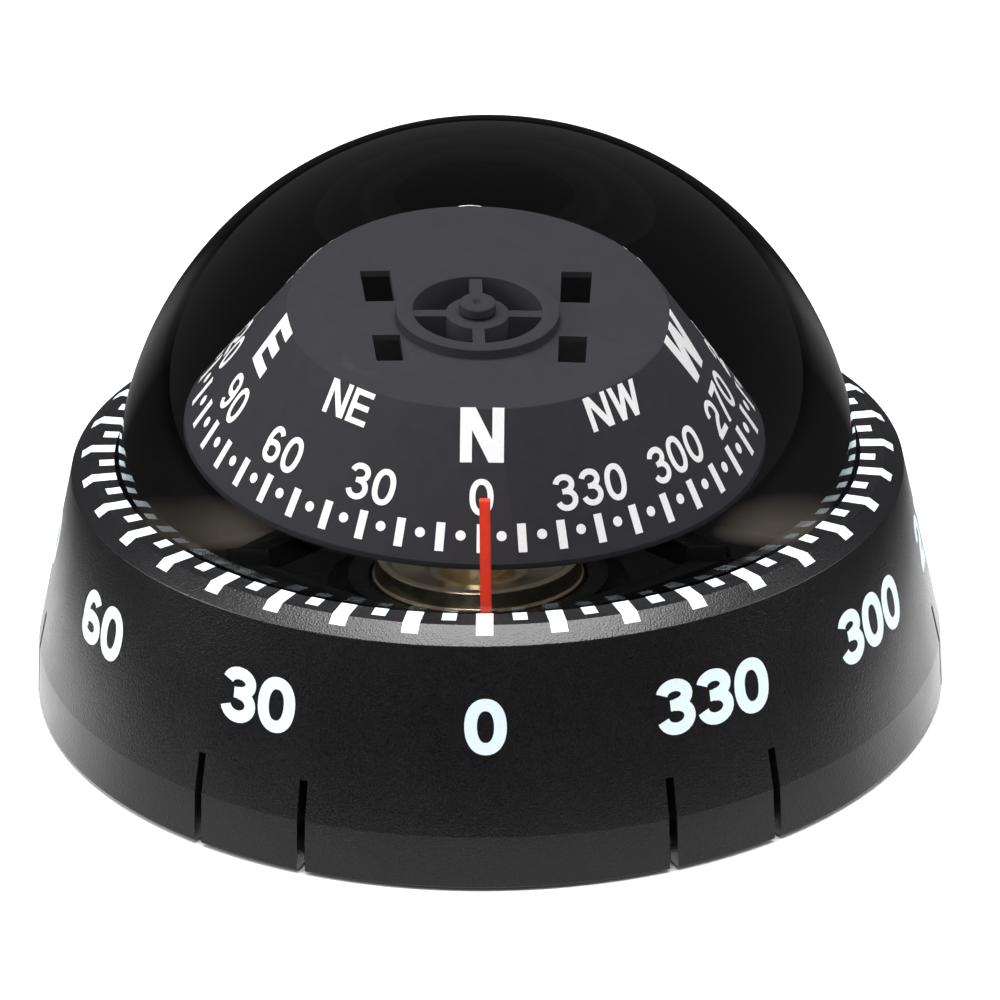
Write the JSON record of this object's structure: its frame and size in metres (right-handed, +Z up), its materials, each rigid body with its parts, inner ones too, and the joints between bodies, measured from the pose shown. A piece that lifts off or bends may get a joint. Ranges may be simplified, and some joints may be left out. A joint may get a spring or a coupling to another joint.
{
  "type": "surface-mount dome compass",
  "caption": "Small boat's deck compass: oil-filled clear dome, gimballed cone card, red lubber line, and a numbered bezel ring that turns on a screw-down base.",
  "frame": {"origin": "centre of the underside, on the deck", "axes": "+Z up along the bezel's axis; the lubber line faces -Y"},
  "size_m": [0.1092, 0.1092, 0.0685],
  "materials": {
    "bezel_black": "fine leather-grain moulded plastic",
    "base_black": "matt moulded plastic",
    "capsule_black": "gloss moulded plastic",
    "card_black": "satin moulded plastic",
    "clear_acrylic": "clear polished acrylic",
    "rubber": "matt rubber",
    "lubber_red": "bright red",
    "brass": "turned brass",
    "weight_brass": "blackened brass",
    "steel": "stainless steel",
    "ruby": "polished ruby",
    "magnet_steel": "plain magnet steel"
  },
  "bodies": {
    "root": {"mounting_base": "base_black", "deck_gasket": "rubber", "capsule_bowl": "capsule_black", "dome": "clear_acrylic", "dome_seal": "rubber", "retainer_ring": "base_black", "retainer_screw_1": "steel", "retainer_screw_2": "steel", "retainer_screw_3": "steel", "capsule_screw_1": "steel", "capsule_screw_2": "steel", "capsule_screw_3": "steel", "diaphragm": "rubber", "diaphragm_cover": "base_black", "cover_screw_1": "steel", "cover_screw_2": "steel", "cover_screw_3": "steel", "fill_plug": "brass", "fill_plug_seal": "rubber", "lubber_post": "lubber_red", "gimbal_yoke": "capsule_black"},
    "bezel": {"bezel_ring": "bezel_black"},
    "gimbal": {"gimbal_ring": "capsule_black", "roll_pin_left": "steel", "roll_pin_right": "steel"},
    "pendulum": {"pendulum_frame": "capsule_black", "pendulum_weight": "weight_brass", "pitch_pin_front": "steel", "pitch_pin_back": "steel", "pivot_seat": "brass", "pivot_stem": "steel"},
    "card": {"compass_card": "card_black", "jewel_cup": "card_black", "jewel": "ruby", "magnet_carrier": "card_black", "magnet_left": "magnet_steel", "magnet_right": "magnet_steel"}
  },
  "joints": [
    {"name": "bezel_turn", "type": "hinge", "parent": "root", "child": "bezel", "pos_m": [0, 0, 0], "axis": [0, 0, 1], "continuous": true},
    {"name": "gimbal_roll", "type": "hinge", "parent": "root", "child": "gimbal", "pos_m": [-0.00085, 0, 0.017], "axis": [1, 0, 0], "range_deg": [-14, 14]},
    {"name": "pendulum_pitch", "type": "hinge", "parent": "gimbal", "child": "pendulum", "pos_m": [-0.00085, 0, 0.017], "axis": [0, 1, 0], "range_deg": [-14, 14]},
    {"name": "card_turn", "type": "hinge", "parent": "pendulum", "child": "card", "pos_m": [-0.00085, 0, 0.0375], "axis": [0.037, 0.03, 0.9989], "continuous": true}
  ]
}
